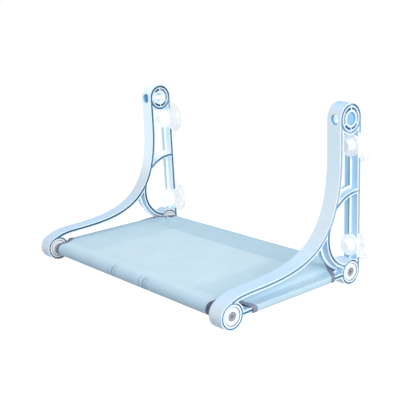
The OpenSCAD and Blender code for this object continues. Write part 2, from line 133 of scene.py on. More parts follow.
def fine_grain(tree, place, size_mm, detail, rough_low, rough_high, strength=0.0):
    """What a shader needs for a fine grain: its roughness and, with a strength, its bumps."""
    grain = add(tree, "ShaderNodeTexNoise", values={"Scale": 1000 / size_mm, "Detail": detail},
                links={"Vector": place})
    needs = {"Roughness": add(tree, "ShaderNodeMapRange", values={"To Min": rough_low, "To Max": rough_high},
                              links={"Value": grain})}
    if strength:
        needs["Normal"] = add(tree, "ShaderNodeBump", values={"Strength": strength, "Distance": 0.0002},
                              links={"Height": grain})
    return needs


print("one function for colours, one for nodes, four for what the finishes share")

# %% [markdown]
# ## Finish of the brackets: injection-moulded polypropylene
# Polypropylene is slightly milky. A subsurface shader could show the light
# that bounces between its walls, but it is slow and noisy on thin walls. So
# light and shade are painted into its colour: each face carries a painted
# shade value, from 0 on an open rim, the palest tone as a painted highlight,
# to 1 inside a groove, and the finish turns a deeper blue with it. A second
# value, glow, is painted light, an emission in the plastic's own colour. A
# satin mould gives a soft sheen and a grain of about 0.1 mm, too fine to show,
# so it is drawn at 0.7 mm.

# %% Moulded polypropylene
def moulded_polypropylene(name, tones):
    """Milky plastic, its colour read from (painted shade, hex colour) pairs."""
    made, tree, place = finish_for(name)
    shelter = add(tree, "ShaderNodeAttribute", attribute_name="shelter")
    cloud = add(tree, "ShaderNodeTexNoise", values={"Scale": 1000 / 40, "Detail": 2.0},
                links={"Vector": place})
    drift = add(tree, "ShaderNodeMapRange", values={"To Min": -0.05, "To Max": 0.05},
                links={"Value": cloud})
    share = add(tree, "ShaderNodeMath", operation="ADD", links={0: shelter.outputs["Fac"], 1: drift})
    tone = add(tree, "ShaderNodeValToRGB", links={"Fac": share})
    stops = tone.color_ramp.elements
    while len(stops) < len(tones):
        stops.new(0.5)
    for stop, (at, colour) in zip(stops, tones):
        stop.position = at
        stop.color = linear(colour)
    # glow: painted light, an emission in the plastic's own colour.
    glow = add(tree, "ShaderNodeAttribute", attribute_name="glow")
    plastic = add(tree, "ShaderNodeBsdfPrincipled", values={"IOR": 1.49},
                  links={"Base Color": tone, "Emission Color": tone, "Emission Strength": glow.outputs["Fac"],
                         **fine_grain(tree, place, 0.7, 2.0, 0.36, 0.46, 0.10)})
    return shade(made, plastic)


# From the palest tone, a painted highlight on open rims, to deep teal, the painted shade in grooves.
bracket_finish = moulded_polypropylene("moulded_polypropylene", (
    (0.0, "#EEF8FD"), (0.2, "#E5F4FD"), (0.42, "#D8E2EA"), (0.52, "#CFDEEB"),
    (0.62, "#BFDCF4"), (0.75, "#A5CDEC"), (0.88, "#68B0D2"), (1.0, "#1C6B90")))
print("bracket finish", bracket_finish.name)

# %% [markdown]
# ## The brackets
# The CAD bracket has the right shape, but knife-sharp edges. A real moulding
# has edges rounded by about half a millimetre, which catch the light. The CAD
# mesh is never changed: a copy has its loose triangles merged into faces, and
# its sharp edges are bevelled. Long thin triangles round the eye would shade
# in streaks, so each corner of a face carries its own normal: the true one
# where the surface is known, elsewhere the mean of the faces that run on
# smoothly from it.

# %% Copy of a bracket
rim_x, mid_x = (0.257, 0.230), 0.2435
head_y, head_z = -0.037, 0.250
head_radius = 0.025
edge_round = 0.0005
smooth_turn = math.cos(math.radians(32))
straight_from_z = 0.18


def merged_copy(node):
    """A CAD node's mesh with its coplanar triangles merged."""
    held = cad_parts[node]
    work = bmesh.new()
    work.from_mesh(held.data)
    bmesh.ops.transform(work, matrix=held.matrix_world, verts=work.verts)
    bmesh.ops.remove_doubles(work, verts=work.verts, dist=2e-6)
    bmesh.ops.dissolve_limit(work, angle_limit=math.radians(0.1), verts=work.verts, edges=work.edges)
    return work


def round_edges(work):
    """Bevels the sharp edges and returns the narrow faces that this makes."""
    sharp = [edge for edge in work.edges
             if len(edge.link_faces) == 2 and edge.calc_face_angle() > math.radians(35)]
    made = bmesh.ops.bevel(work, geom=sharp, offset=edge_round, offset_type="OFFSET", segments=2,
                           profile=0.5, affect="EDGES", clamp_overlap=True, miter_outer="ARC", material=-1)
    return set(made["faces"])


def true_normal(corner, face):
    """The surface's own normal on the outside of the head and on the straight of the arm, else None."""
    if face.normal.y > -0.05 and corner.z < head_z:
        return None
    out = Vector((0, corner.y - head_y, max(0.0, corner.z - head_z)))
    on_face = abs(out.length - head_radius) < 0.0002 and face.normal.dot(out.normalized()) > 0.9
    return out.normalized() if on_face and corner.z > straight_from_z else None


def corner_normals(work, narrow):
    """A normal for each corner of each face, in the order of the mesh's loops."""
    normals = []
    for face in work.faces:
        for loop in face.loops:
            wide = [f for f in loop.vert.link_faces if f not in narrow]
            if face in narrow:
                near = wide or loop.vert.link_faces
                turned = [true_normal(loop.vert.co, f) or f.normal for f in near]
            else:
                turned = [true_normal(loop.vert.co, face)]
                if turned[0] is None:
                    turned = [f.normal * f.calc_area() for f in wide
                              if f.normal.dot(face.normal) > smooth_turn]
            normals.append(sum(turned, Vector()).normalized())
    return normals


print("bracket edges are rounded by", edge_round * 1000, "mm")

# %% [markdown]
# In the photograph the eye through the head's front has a plain dark wall. So a
# short tube is drawn in it as a lining, which the real head may not have as a
# part of its own. Its wall is painted a deeper blue inward, as painted shade.

# %% Lining of the eye
eye_radius = 0.00885
lining_thick, lining_depth, lining_sunk = 0.0005, 0.0085, 0.0004
lining_steps, lining_turns = 6, 48


def line_eye(work, side):
    """A short tube in the eye of a bracket's head; side is 1 on the right."""
    depths = [lining_sunk + lining_depth * k / lining_steps for k in range(lining_steps + 1)]
    rings = ([(eye_radius - lining_thick, depth) for depth in depths]
             + [(eye_radius, depth) for depth in reversed(depths)])
    made = []
    for radius, depth in rings:
        ring = []
        for k in range(lining_turns):
            turn = 2 * math.pi * k / lining_turns
            rise = radius * math.sin(turn)
            front = head_y - math.sqrt(head_radius ** 2 - max(0.0, rise) ** 2)
            y = max(front + lining_sunk, head_y - head_radius + depth)
            ring.append(work.verts.new((side * mid_x + radius * math.cos(turn), y, head_z + rise)))
        made.append(ring)
    faces = []
    for inner, outer in zip(made, made[1:] + made[:1]):
        for k in range(lining_turns):
            n = (k + 1) % lining_turns
            faces.append(work.faces.new((inner[k], outer[k], outer[n], inner[n])))
    bmesh.ops.recalc_face_normals(work, faces=faces)
    return set(faces)


print("eye lining", lining_thick * 1000, "mm thick and", lining_depth * 1000, "mm deep")

# %% [markdown]
# The painted shade is measured by rays. A face that meets another wall straight
# ahead within a few millimetres lies in a groove, and the number of walls in
# front and above tells the arm's grooves from the arch's and the loop's. For an
# open face, rays spread over the half space in front count how much of the
# bracket stands round it, and the more they meet, the more painted shade.

# %% Rays and blends
def spread_rays(count):
    """Directions about +Z, most of them near it, as soft light falls."""
    turn = math.pi * (3 - math.sqrt(5))
    outs = [math.sqrt((k + 0.5) / count) for k in range(count)]
    return [Vector((out * math.cos(k * turn), out * math.sin(k * turn), math.sqrt(1 - out * out)))
            for k, out in enumerate(outs)]


def walls_ahead(solid, start, heading):
    """How many surfaces of the bracket a straight ray crosses."""
    count = 0
    while count < 6:
        hit = solid.ray_cast(start, heading)[0]
        if hit is None:
            break
        start, count = hit + heading * 1e-4, count + 1
    return count


def fold(a, b, share):
    return a + (b - a) * share


def smooth(share):
    share = min(1.0, max(0.0, share))
    return share * share * (3 - 2 * share)


soft_rays = spread_rays(40)
print(len(soft_rays), "rays over each open face")

# %% [markdown]
# A face on a bracket's outer or inner plane is a rim, and so is a rib's side;
# they take the palest tone as a painted highlight. The head's faces are told by
# their radius: recess with the bar across it, hub, pocket and groove. Its recess,
# bar and hub get a painted glow, its pocket and groove painted shade. The plate,
# the arch and the groove in the plate's edge have painted shade and glow of
# their own, set to match the photograph. So has the left bracket, which is seen
# against the light, though its plastic is the same: lighter painted shade and a
# stronger painted glow.

# %% Painted shade and painted glow of each face
bar_radius, bar_depth = 0.0037, 0.005
recess_radius, hub_radius, pocket_radius, groove_radius = 0.0105, 0.0140, 0.0178, 0.0240
recess_floor, recess_back, hub_front, head_groove_depth = 0.006, 0.004, 0.006, 0.0056
tube_y = {"rear": -0.034, "front": -0.294}
boss_sink_radius = 0.0155
rim_depth, groove_depth, groove_wide = 0.0004, 0.008, 0.0042
plate_front_y, plate_groove_y, plate_slack = -0.020, -0.0162, 0.0005
plate_groove_half, rib_reach = 0.0030, 0.0019
arch_y, arch_z = -0.062, 0.10
nose_y, nose_top, nose_drop = -0.285, 0.012, 0.030
foot_z, foot_climb = 0.03, 0.10
lit_z, lit_climb = 0.06, 0.08
ray_reach, off_face = 0.07, 1e-4
up_and_out = Vector((0, -1, 1)).normalized()


def head_painted_shade(middle, depth):
    """Painted shade and glow of a face of the head, else None; depth is in from the bracket's nearer side."""
    on_right, inner_side = middle.x > 0, abs(middle.x) < mid_x
    out_y, out_z = middle.y - head_y, middle.z - head_z
    away = math.hypot(out_y, out_z)
    upright = abs(out_z) / max(away, 1e-6)
    # Painted glow on the bar, the recess and the hub; painted shade on the outer recess's floor, in the
    # pocket and in the groove.
    if away < recess_radius:
        if inner_side and math.hypot(depth - bar_depth, out_z) < bar_radius:
            return 0.02, 0.40
        if inner_side and depth < recess_floor:
            return 0.02, 0.45
        if inner_side or depth > recess_back:
            return (0.30, 0.12) if on_right else (0.52, 0.04)
        return 0.80, 0.0
    if away < hub_radius and out_y < -hub_front and inner_side and upright < 0.8:
        return 0.02, 0.45
    if away < pocket_radius:
        return fold(0.35, 0.87 if on_right else 0.93, smooth((upright - 0.45) / 0.35)), 0.0
    if away < groove_radius and depth < head_groove_depth:
        dark = 0.90 if on_right else 0.98
        return fold(dark - 0.16, dark, smooth(out_z / away)), 0.0
    return None


def groove_painted_shade(solid, start, middle):
    """Painted shade and glow inside a groove of the arm, plate, arch or loop."""
    # Painted shade in a groove: deeper low down and on the left, with a faint painted glow high on the arm.
    high = smooth((middle.z - foot_z) / foot_climb)
    if middle.x < 0:
        return fold(1.0, 0.86, high), 0.0
    if abs(middle.y - plate_groove_y) < plate_groove_half:
        return 0.46, 0.02
    on_arm = walls_ahead(solid, start, up_and_out) < 3
    return (fold(0.80, 0.42, high), 0.04 * high) if on_arm else (0.87, 0.0)


def open_painted_shade(solid, start, middle, normal):
    """Painted shade and glow of a face that stands open."""
    on_right = middle.x > 0
    on_plate = normal.y < -0.9 and abs(middle.y - plate_front_y) < plate_slack
    on_arch_top = middle.y > arch_y and middle.z > arch_z and normal.z > 0.3
    # Painted shade on the plate and arch top: light with a painted glow on the left, deeper on the right.
    if not on_right and (on_plate or on_arch_top):
        return 0.24, 0.20
    if on_plate:
        return 0.64, 0.07
    # Painted shade grows with the bracket the rays meet and on faces turned up; the nose is painted darker
    # downward.
    facing = normal.to_track_quat("Z", "Y")
    met = sum(solid.ray_cast(start, facing @ ray, ray_reach)[0] is not None for ray in soft_rays)
    shelter = max(fold(0.18, 0.74 if middle.z > head_z else 0.62, max(0.0, normal.z)),
                  fold(0.18, 0.65, smooth((met / len(soft_rays) - 0.06) / 0.42)))
    if middle.y < nose_y:
        shelter = max(shelter, fold(0.18, 0.70, smooth((nose_top - middle.z) / nose_drop)))
    # Painted glow: faint on the right; on the left stronger higher up and less on faces turned up.
    glow = 0.02 if on_right else (0.24 * smooth((middle.z - lit_z) / lit_climb)
                                  * (1 - smooth((normal.z - 0.2) / 0.5)))
    return shelter, glow if normal.y < -0.3 else 0.0


def face_painted_shade(solid, face, lining):
    """Painted shade and glow of a face."""
    middle, normal = face.calc_center_median(), face.normal
    on_right, flat_on = middle.x > 0, abs(normal.x) > 0.9
    depth = min(abs(abs(middle.x) - x) for x in rim_x)
    # The eye's lining: painted shade deepening inward, and a faint painted glow.
    if face in lining:
        inward = smooth((middle.y - head_y + head_radius) / lining_depth)
        return fold(0.30 if on_right else 0.78, 0.92, inward), 0.06
    # An open rim: the palest tone, a painted highlight.
    if depth < rim_depth and flat_on:
        return 0.0, 0.0
    in_head = head_painted_shade(middle, depth)
    if in_head:
        return in_head
    # A rib's side: painted highlight and glow; its edge: painted shade, lighter on the left.
    if max(abs(abs(v.co.x) - mid_x) for v in face.verts) < rib_reach:
        return (0.0, 0.12) if flat_on else (0.88 if on_right else 0.44, 0.0)
    # The recess round a boss's bush: painted shade.
    from_boss = min(math.dist((middle.y, middle.z), (y, 0)) for y in tube_y.values())
    if from_boss < boss_sink_radius and depth > rim_depth:
        return 0.97, 0.0
    start = middle + normal * off_face
    if depth < groove_depth and (flat_on or solid.ray_cast(start, normal, groove_wide)[0] is not None):
        return groove_painted_shade(solid, start, middle)
    return open_painted_shade(solid, start, middle, normal)


print("the head's groove ends", groove_radius * 1000, "mm from its centre, a boss's recess",
      boss_sink_radius * 1000, "mm")

# %% [markdown]
# The values have to run smoothly round a bend and break at an edge. So each
# corner takes the mean of the faces that run on smoothly from it, as its normal
# does. Then each bracket is copied, rounded, lined and given its values and its
# finish, and takes the CAD bracket's place.

# %% Both brackets
def corner_painted_shades(work, narrow, lining):
    """Painted shade and glow for each corner: the mean of the faces that run on smoothly from it."""
    solid = BVHTree.FromBMesh(work)
    of_face = {face: face_painted_shade(solid, face, lining) for face in work.faces}
    pairs = []
    for face in work.faces:
        for loop in face.loops:
            near = [of_face[f] for f in loop.vert.link_faces
                    if f not in narrow and f.normal.dot(face.normal) > smooth_turn] or [of_face[face]]
            pairs.append([sum(values) / len(near) for values in zip(*near)])
    return zip(*pairs)


for side in ("left", "right"):
    work = merged_copy(f"bracket_{side}")
    narrow = round_edges(work)
    lining = line_eye(work, 1 if side == "right" else -1)
    work.normal_update()
    painted_shades, glows = corner_painted_shades(work, narrow, lining)
    normals = corner_normals(work, narrow)
    mesh = bpy.data.meshes.new(f"moulded_bracket_{side}")
    work.to_mesh(mesh)
    for name, values in (("shelter", painted_shades), ("glow", glows)):
        mesh.attributes.new(name, "FLOAT", "CORNER").data.foreach_set("value", values)
    mesh.polygons.foreach_set("use_smooth", [True] * len(mesh.polygons))
    mesh.normals_split_custom_set(normals)
    mesh.materials.append(bracket_finish)
    bracket = placed(mesh.name, mesh)
    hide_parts(f"bracket_{side}")
    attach(bracket, "perch")
    print(bracket.name, len(mesh.polygons), "faces,", len(narrow), "on rounded edges,",
          sum(s > 0.8 for s in painted_shades), "corners in grooves")
    work.free()

# %% [markdown]
# ## Small hard parts
# Tubes, bushes, screws, washers, knobs and studs have the right shape in CAD,
# so their meshes stay and only their finish changes: drawn steel with fine
# lines along the tube, zinc plate with a mottled sheen, and white nylon. The
# knobs and washers are milky, and a faint painted glow stands in for the light
# in them. The painted glow is stronger on the left, to lighten the left ones,
# which are seen against the light.

# %% Metal and nylon
def grey_metal(name, stretch, grain, lump_mm, dark, light):
    """Metal in two greys; stretch below 1 draws its grain out along X."""
    made, tree, place = finish_for(name)
    along = add(tree, "ShaderNodeMapping", values={"Scale": (stretch, 1, 1)}, links={"Vector": place})
    tone = two_tone(tree, along, lump_mm, dark, light)
    metal = add(tree, "ShaderNodeBsdfPrincipled", values={"Metallic": 1.0},
                links={"Base Color": tone, **fine_grain(tree, along, *grain)})
    return shade(made, metal)


def white_nylon(name, dark, light, rough_low, rough_high, right_glow=0.0, left_glow=0.0):
    """Moulded nylon, a soft shine on white, with a painted glow that differs between the left and the right.
    """
    made, tree, place = finish_for(name)
    tone = two_tone(tree, place, 8, dark, light)
    split = add(tree, "ShaderNodeSeparateXYZ", links={"Vector": place})
    # Painted glow, stronger on the left than on the right.
    glow = add(tree, "ShaderNodeMapRange",
               values={"From Min": -0.1, "From Max": 0.1, "To Min": left_glow, "To Max": right_glow},
               links={"Value": split.outputs["X"]})
    plastic = add(tree, "ShaderNodeBsdfPrincipled", values={"IOR": 1.53, "Emission Color": (1, 1, 1, 1)},
                  links={"Base Color": tone, "Emission Strength": glow,
                         **fine_grain(tree, place, 0.5, 2.0, rough_low, rough_high, 0.08)})
    return shade(made, plastic)


tube_finish = grey_metal("drawn_steel", 0.02, (0.8, 3.0, 0.28, 0.45), 1.2, "#9C9EA4", "#B4B6BC")
plate_finish = grey_metal("zinc_plate", 1, (0.6, 2.0, 0.32, 0.50), 1.5, "#8E909C", "#A2A4AE")
bush_finish = white_nylon("white_nylon_bush", "#EEF2F6", "#F6F9FB", 0.30, 0.40)
# Painted glow on the knobs and washers, stronger on the left.
knob_finish = white_nylon("white_nylon_knob", "#F5F8FA", "#FCFDFD", 0.22, 0.32,
                          right_glow=0.12, left_glow=0.34)
print("finishes", ", ".join(made.name for made in (tube_finish, plate_finish, bush_finish, knob_finish)))

# %% [markdown]
# The cups are soft clear vinyl, moulded smooth, faintly blue-grey, with slow
# waves in the wall. The shader lets light through and bends it, and an alpha
# below 1 also shows what stands behind a cup straight through it, as a thin
# wall does.

# %% Clear vinyl
def clear_vinyl(name):
    made, tree, place = finish_for(name)
    tone = two_tone(tree, place, 12, "#D2D5DF", "#DDE0E8")
    waves = add(tree, "ShaderNodeTexNoise", values={"Scale": 1000 / 9, "Detail": 1.0},
                links={"Vector": place})
    bump = add(tree, "ShaderNodeBump", values={"Strength": 0.05, "Distance": 0.0005},
               links={"Height": waves})
    vinyl = add(tree, "ShaderNodeBsdfPrincipled",
                values={"IOR": 1.53, "Transmission Weight": 1.0, "Roughness": 0.1, "Alpha": 0.35},
                links={"Base Color": tone, "Normal": bump})
    return shade(made, vinyl)


cup_finish = clear_vinyl("clear_vinyl")

finish_of = {"front_tube": tube_finish, "rear_tube": tube_finish, "tube_bush": bush_finish,
             "tube_screw": plate_finish, "cup_stud": plate_finish, "cup_washer": knob_finish,
             "knob_nut": knob_finish, "suction_cup": cup_finish}
for name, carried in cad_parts.items():
    for start, finish in finish_of.items():
        if name.startswith(start):
            for holder in carried.material_slots:
                holder.material = finish
print("finishes on the carried-over nodes")

# %% [markdown]
# ## The cloth: how it runs
# The deck is one cut of cloth. At the front and rear it goes round a tube and
# comes back under the deck to a hem seam. At each side it is folded round the
# flat rail of a bracket into a sleeve, whose end is sewn under the deck too.
# A cloth simulation could pull it tight, but the cloth is so stretched that
# its form is given by what it goes round. So it is made as a sheet that
# follows two paths: a profile from rear to front, and a section across.

# %% Sizes of the cloth
cloth_thick = 0.0011
roll_radius = 0.0110
deck_z = roll_radius
deck_half, pulled_x = 0.232, 0.228
hem_y = {"rear": -0.093, "front": -0.268}
roll_half = {"rear": 0.217, "front": 0.2195}
turn_y = {"rear": -0.046, "front": -0.284}
side_hem_x = 0.138
pinch_x = (-0.039, 0.050)
pinch_y = -0.300
sag_depth = 0.0030
print("cloth", cloth_thick * 1000, "mm thick, its top", deck_z * 1000, "mm above the tubes' middle")

# %% [markdown]
# Stretched cloth still isn't flat. It sags a little in the middle, low folds
# fan out from its corners and from two pinches on the front roll, and under the
# pinches the roll is creased. Smooth noise keeps the folds from looking drawn.

# %% Sag, folds and creases
def deck_sag(x, y):
    """How far the deck hangs below the line between the tubes."""
    along = (y - tube_y["front"]) / (tube_y["rear"] - tube_y["front"])
    across = max(0.0, 1 - (x / deck_half) ** 2)
    return sag_depth * 4 * along * (1 - along) * across ** 0.7 if 0 < along < 1 else 0.0


def wrinkles(x, y):
    """Low folds that run from the corners and the two pinches, where the cloth is pulled."""
    height = 0.0
    for sx in (-1, 1):
        for cy, spread, strength in ((-0.044, 0.075, 0.0010), (-0.284, 0.055, 0.0006)):
            dx, dy = sx * pulled_x - x, y - cy
            away = math.hypot(dx, dy)
            angle = math.atan2(dy, sx * dx)
            fade = math.exp(-(away / spread) ** 2) * smooth(away / 0.018)
            waver = 2.0 * noise.noise(Vector((x * 14, y * 14, sx)))
            height += strength * fade * math.sin(11 * angle + waver)
    for px in pinch_x:
        dx, dy = x - px, y - pinch_y
        away = math.hypot(dx, dy)
        fade = math.exp(-(away / 0.045) ** 2) * smooth(away / 0.010)
        height += 0.0005 * fade * math.cos(9 * math.atan2(dx, dy))
    height += 0.00025 * noise.noise(Vector((x * 16, y * 9, 3.1)))
    height += 0.00015 * noise.noise(Vector((x * 40, y * 25, 7.7)))
    height -= 0.00022 * math.exp(-((y - hem_y["rear"]) / 0.0012) ** 2)
    height -= 0.00015 * math.exp(-((abs(x) - side_hem_x) / 0.0012) ** 2)
    edge = smooth((deck_half - abs(x)) / 0.02)
    ends = smooth((y - tube_y["front"]) / 0.008) * smooth((tube_y["rear"] - y) / 0.02)
    return height * edge * ends


def crease(x, turn):
    """Depth, 0 to 1, of the front roll's creases at a pinch; turn is 90 on the tube's top, 0 at its front."""
    low = smooth((105 - turn) / 50) * smooth((turn + 60) / 40)
    folds_at = [(px + shift, depth) for px in pinch_x
                for shift, depth in ((-0.0105, 0.35), (0.0, 1.0), (0.0085, 0.5))]
    return low * min(1.0, sum(depth * math.exp(-((x - at) / 0.0019) ** 2) for at, depth in folds_at))


print("sag in the middle", round(deck_sag(0, sum(tube_y.values()) / 2) * 1000, 2), "mm")

# %% [markdown]
# The section across starts on the deck, keeps the deck's height over the
# inner edge of the rail, slopes to the sleeve's top, goes round the rail and
# ends under the deck.

# %% Section of the side sleeve
def arc(centre, radius, start, stop, count):
    turns = [math.radians(fold(start, stop, i / count)) for i in range(count + 1)]
    return [(centre[0] + radius * math.cos(turn), centre[1] + radius * math.sin(turn)) for turn in turns]


def path_lengths(points):
    lengths = [0.0]
    for a, b in zip(points, points[1:]):
        lengths.append(lengths[-1] + math.dist(a, b))
    return lengths


def along_path(points, lengths, distance):
    """The point at a distance along a path."""
    distance = min(max(distance, 0.0), lengths[-1])
    for i in range(1, len(points)):
        if distance <= lengths[i] or i == len(points) - 1:
            share = (distance - lengths[i - 1]) / (lengths[i] - lengths[i - 1])
            return tuple(fold(a, b, share) for a, b in zip(points[i - 1], points[i]))


section_start = roll_half["rear"]
rail_edge_x, inner_wall_x = 0.25849, 0.2262
bend = 0.0024
sleeve_section = ([(section_start, 0.0110), (0.2220, 0.0110), (0.2270, 0.0109), (0.2305, 0.0104),
                   (0.2335, 0.0092), (0.2362, 0.0070), (0.2390, 0.0052), (0.2425, 0.0047),
                   (0.2470, 0.0046), (0.2520, 0.0046)]
                  + arc((0.2561, 0.0021), bend, 88, 0, 5)
                  + arc((0.2561, -0.0041), bend, 0, -90, 5)
                  + [(0.2500, -0.0065), (0.2430, -0.0065), (0.2360, -0.0065)]
                  + arc((0.2309, -0.0041), bend, -90, -180, 5)
                  + [(0.2284, 0.0010), (0.2278, 0.0040), (0.2262, 0.0066), (0.2235, 0.0082),
                     (0.2200, 0.0086), (0.2130, 0.0087), (0.1900, 0.0087), (0.1640, 0.0087),
                     (side_hem_x, 0.0087)])
section_lengths = path_lengths(sleeve_section)
sleeve_reach = section_lengths[-1]
edge_reach = next(length for (x, z), length in zip(sleeve_section, section_lengths) if x > rail_edge_x)
print("sleeve takes", round(sleeve_reach * 1000, 1), "mm of cloth on each side, rail edge at",
      round(edge_reach * 1000, 1), "mm")

# %% [markdown]
# The profile from rear to front: under the deck at the rear hem, round the
# rear tube, over the deck, round the front tube and back to the front hem.

# %% Profile of the deck
def roll_profile(end):
    """Points (y, z) round a tube, from the end's hem to where the deck starts."""
    sign = 1 if end == "rear" else -1
    centre = tube_y[end]
    hem = (hem_y[end], deck_z - cloth_thick - 0.0001 - cloth_thick - deck_sag(0, hem_y[end]))
    to_hem = math.atan2(hem[1], abs(hem[0] - centre))
    leave = math.degrees(math.acos(roll_radius / math.hypot(hem[0] - centre, hem[1])) - to_hem)
    wrap = [(centre + sign * y, z) for y, z in arc((0, 0), roll_radius, -180 + leave, 90, 26)]
    steps = 14
    flap = [tuple(fold(a, b, i / steps) for a, b in zip(hem, wrap[0])) for i in range(steps)]
    return flap, wrap + [(turn_y[end], deck_z)]


rear_flap, rear_wrap = roll_profile("rear")
front_flap, front_wrap = roll_profile("front")
deck_rows = 78
deck_line = [(fold(turn_y["rear"], turn_y["front"], i / deck_rows), deck_z) for i in range(1, deck_rows)]
profile = rear_flap + rear_wrap + deck_line + front_wrap[::-1] + front_flap[::-1]
first_deck_row = len(rear_flap) + len(rear_wrap) - 1
last_deck_row = first_deck_row + deck_rows
profile_lengths = path_lengths(profile)

# %% [markdown]
# The corners are cut away where the brackets' bosses are, along the lines that
# the grey tape binds. At its two mouths the sleeve isn't pulled down on the
# rail, so it stands open there.

# %% Cut corners and mouths
front_cut = [(0.0025, -0.284), (0.0070, -0.2765), (0.0115, -0.2705), (0.0165, -0.2682), (0.0255, -0.2652),
             (0.0356, -0.2595), (edge_reach, -0.2545)]
rear_cut = [(0.0, -0.046), (0.0060, -0.0500), (0.0120, -0.0555), (0.0182, -0.0600), (0.0271, -0.0655),
            (0.0366, -0.0705), (edge_reach, -0.0755)]
under_cut = {"rear": -0.0625, "front": -0.2655}
mouth_x, mouth_reach = (0.229, 0.2561), 0.024


def cut_point(cut, share):
    lengths = path_lengths(cut)
    return along_path(cut, lengths, share * lengths[-1])


def cut_at(cut, x):
    """Where a cut line runs under the rail, at a plan x."""
    if x <= 0.2295:
        return cut[2][1]
    top = [(section_x(p), y) for p, y in cut]
    for a, b in zip(top, top[1:]):
        if a[0] <= x <= b[0]:
            return fold(a[1], b[1], (x - a[0]) / (b[0] - a[0]))
    return cut[-1][1]


def section_x(distance):
    return along_path(sleeve_section, section_lengths, distance)[0]


def mouth_lift(x, z, y):
    """How far a mouth of the sleeve stands above it: it runs straight from the deck to the rail's edge."""
    if not mouth_x[0] < x < mouth_x[1]:
        return 0.0
    share = (x - mouth_x[0]) / (mouth_x[1] - mouth_x[0])
    straight = fold(0.0108, 0.0050, share) + 0.0012 * math.sin(math.pi * share)
    near = 1 - min(y - cut_at(front_cut, x), cut_at(rear_cut, x) - y) / mouth_reach
    return max(0.0, straight - z) * smooth(near)


def cloth_point(side, across, y):
    """A point of a side of the cloth; across is the flat distance outward from the section's start."""
    x, z = along_path(sleeve_section, section_lengths, across)
    if across <= edge_reach:
        z += mouth_lift(x, z, y) + wrinkles(side * x, y) * (1 if across < 0.012 else 0.5)
        z -= deck_sag(side * x, y)
    elif x < inner_wall_x:
        z -= deck_sag(side * x, y)
    return Vector((side * x, y, z))


print("cut corners reach", round((front_cut[-1][1] - tube_y["front"]) * 1000, 1), "and",
      round((tube_y["rear"] - rear_cut[-1][1]) * 1000, 1), "mm in from the tubes")

# %% [markdown]
# The rows and columns become vertices: first the middle with the rolls, then
# both sides, which start from its outer columns. Each vertex keeps its place on
# the flat cloth as a UV in metres, so that the weave runs true round every
# fold.

# %% The cloth's middle
cloth = bmesh.new()
columns, side_columns, under_columns = 220, 44, 52
front_wrap_end = last_deck_row + len(front_wrap)
crease_depth = 0.0016
flat_place, grid, folds = {}, [], {}


def half_width(row):
    """Half of the width between the sleeves, which tapers a little over the deck."""
    share = min(1.0, max(0.0, (row - first_deck_row) / deck_rows))
    return fold(roll_half["rear"], roll_half["front"], share)


for row, (y, z) in enumerate(profile):
    line = []
    for column in range(columns + 1):
        x = fold(-half_width(row), half_width(row), column / columns)
        if first_deck_row <= row <= last_deck_row:
            point = Vector((x, y, z - deck_sag(x, y) + wrinkles(x, y)))
        else:
            point = Vector((x, y, z))
            if last_deck_row < row < front_wrap_end:
                away = Vector((0, y - tube_y["front"], z))
                folds[(row, column)] = crease(x, math.degrees(math.atan2(away.z, -away.y)))
                point -= away.normalized() * crease_depth * folds[(row, column)]
            elif row < len(rear_flap) or row >= front_wrap_end:
                point.z += deck_sag(0, y) - deck_sag(x, y)
        vertex = cloth.verts.new(point)
        flat_place[vertex] = (x, -profile_lengths[row])
        line.append(vertex)
    grid.append(line)
print("middle of", len(grid), "rows and", columns + 1, "columns")

# %% [markdown]
# On the sides each row runs on through the sleeve. Over the rail its columns
# are spread between the two cut lines, and under the deck they come back
# straight.

# %% The cloth's sides
side_grids = {}
for side in (-1, 1):
    lines = []
    for row in range(first_deck_row, last_deck_row + 1):
        share = (row - first_deck_row) / deck_rows
        line = [grid[row][0 if side < 0 else columns]]
        for column in range(1, side_columns + under_columns + 1):
            if column <= side_columns:
                out = column / side_columns
                rear_p, rear_t = cut_point(rear_cut, out)
                front_p, front_t = cut_point(front_cut, out)
                plain = fold(half_width(row) - section_start, edge_reach, out)
                across = (plain + (rear_p - plain) * smooth(1 - share / 0.3)
                          + (front_p - plain) * smooth(1 - (1 - share) / 0.3))
            else:
                across = fold(edge_reach, sleeve_reach, (column - side_columns) / under_columns)
                x = section_x(across)
                rear_t = min(cut_at(rear_cut, x), under_cut["rear"])
                front_t = max(cut_at(front_cut, x), under_cut["front"])
            y = fold(rear_t, front_t, share)
            vertex = cloth.verts.new(cloth_point(side, across, y))
            flat_place[vertex] = (side * (section_start + across),
                                  -(profile_lengths[first_deck_row] + (turn_y["rear"] - y)))
            line.append(vertex)
        lines.append(line)
    side_grids[side] = lines
print("sides of", len(side_grids[1]), "rows and", side_columns + under_columns, "columns each")

# %% [markdown]
# Faces join the vertices. The left side's grid runs the other way, so its
# corners are taken in reverse. So all faces show the same side of the cloth.

# %% The cloth's faces
for lines, order in ((grid, 1), (side_grids[-1], -1), (side_grids[1], 1)):
    for one, other in zip(lines, lines[1:]):
        for k in range(len(one) - 1):
            cloth.faces.new((one[k], other[k], other[k + 1], one[k + 1])[::order])
flat_uv = cloth.loops.layers.uv.new("flat_cloth")
for face in cloth.faces:
    face.smooth = True
    for loop in face.loops:
        loop[flat_uv].uv = flat_place[loop.vert]
cloth.normal_update()
cloth_area = sum(face.calc_area() for face in cloth.faces)
print("cloth area", round(cloth_area, 4), "m2 in", len(cloth.faces), "faces")

